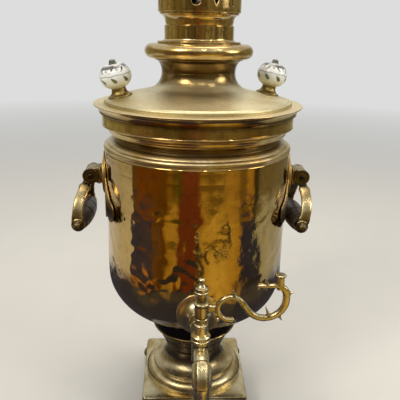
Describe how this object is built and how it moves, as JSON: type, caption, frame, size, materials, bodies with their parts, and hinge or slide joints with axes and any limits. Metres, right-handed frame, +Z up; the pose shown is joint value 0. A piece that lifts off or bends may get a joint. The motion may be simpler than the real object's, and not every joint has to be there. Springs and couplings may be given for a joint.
{
  "type": "charcoal samovar",
  "caption": "Brass charcoal samovar: straight-sided urn on a square footed base, lift-off lid with porcelain knobs and teapot crown, plug tap with scroll key, drop handles.",
  "frame": {"origin": "on the urn's vertical axis, at the floor under the feet", "axes": "+Z up along the urn's axis, -Y towards the tap and the viewer, +X to the viewer's right through the handle pins"},
  "size_m": [0.2415, 0.2859, 0.4499],
  "materials": {
    "brass": "polished brass, golden, slightly aged",
    "dull_brass": "dulled yellow-grey brass",
    "dark_bronze": "heat-darkened brass, satin",
    "aged_bronze": "dark aged brass, worn bright on the edges",
    "porcelain": "glazed cream porcelain with a hand-painted sprig",
    "wood": "dark stained turned wood, satin",
    "iron": "grey iron, matte"
  },
  "bodies": {
    "urn": {"feet": "dull_brass", "base_plate": "dull_brass", "pedestal_skirt": "dull_brass", "pedestal_stem": "dull_brass", "drum_bowl": "dark_bronze", "vent_drum": "dark_bronze", "drum_bead_ring": "brass", "body_shell": "brass", "body_shoulder": "brass", "neck_band": "brass", "top_ring": "brass", "fire_tube": "dull_brass", "fire_grate": "iron", "tap_rosette": "brass", "tap_body": "brass", "tap_spout": "brass", "shield_left": "aged_bronze", "shield_right": "aged_bronze", "handle_bracket_left": "aged_bronze", "handle_bracket_right": "aged_bronze", "handle_pin_left": "dark_bronze", "handle_pin_right": "dark_bronze"},
    "lid": {"lid_dome": "brass", "lid_ring": "dull_brass", "lid_neck": "brass", "lid_collar": "brass", "knob_base_left": "brass", "knob_base_right": "brass", "knob_left": "porcelain", "knob_right": "porcelain", "knob_stud_left": "iron", "knob_stud_right": "iron", "knob_nut_left": "iron", "knob_nut_right": "iron", "knob_under_nuts": "iron", "steam_seat": "brass"},
    "steam_valve": {"steam_cap": "brass"},
    "crown": {"crown_cup": "brass", "crown_gallery": "brass", "crown_rim": "brass"},
    "cap": {"chimney_cap": "dull_brass", "chimney_cap_knob": "wood"},
    "key": {"tap_plug": "brass", "tap_key": "brass", "tap_finial": "brass"},
    "left_handle": {"arm_front_left": "aged_bronze", "arm_rear_left": "aged_bronze", "grip_left": "wood", "grip_rod_left": "iron", "rod_caps_left": "aged_bronze"},
    "right_handle": {"arm_front_right": "aged_bronze", "arm_rear_right": "aged_bronze", "grip_right": "wood", "grip_rod_right": "iron", "rod_caps_right": "aged_bronze"}
  },
  "joints": [
    {"name": "lid_lift", "type": "slide", "parent": "urn", "child": "lid", "axis": [0, 0, 1], "range_m": [0, 0.12]},
    {"name": "steam_cap_lift", "type": "slide", "parent": "lid", "child": "steam_valve", "axis": [0, 0, 1], "range_m": [0, 0.012]},
    {"name": "crown_lift", "type": "slide", "parent": "lid", "child": "crown", "axis": [0, 0, 1], "range_m": [0, 0.06]},
    {"name": "chimney_cap_lift", "type": "slide", "parent": "urn", "child": "cap", "axis": [0, 0, 1], "range_m": [0, 0.06]},
    {"name": "tap_turn", "type": "hinge", "parent": "urn", "child": "key", "pos_m": [0, -0.146, 0.148], "axis": [0, 0, 1], "range_deg": [-225, 45]},
    {"name": "left_handle_swing", "type": "hinge", "parent": "urn", "child": "left_handle", "pos_m": [-0.1064, 0, 0.257], "axis": [0, 1, 0], "range_deg": [-16, 80]},
    {"name": "right_handle_swing", "type": "hinge", "parent": "urn", "child": "right_handle", "pos_m": [0.1064, 0, 0.257], "axis": [0, -1, 0], "range_deg": [0, 96]}
  ]
}
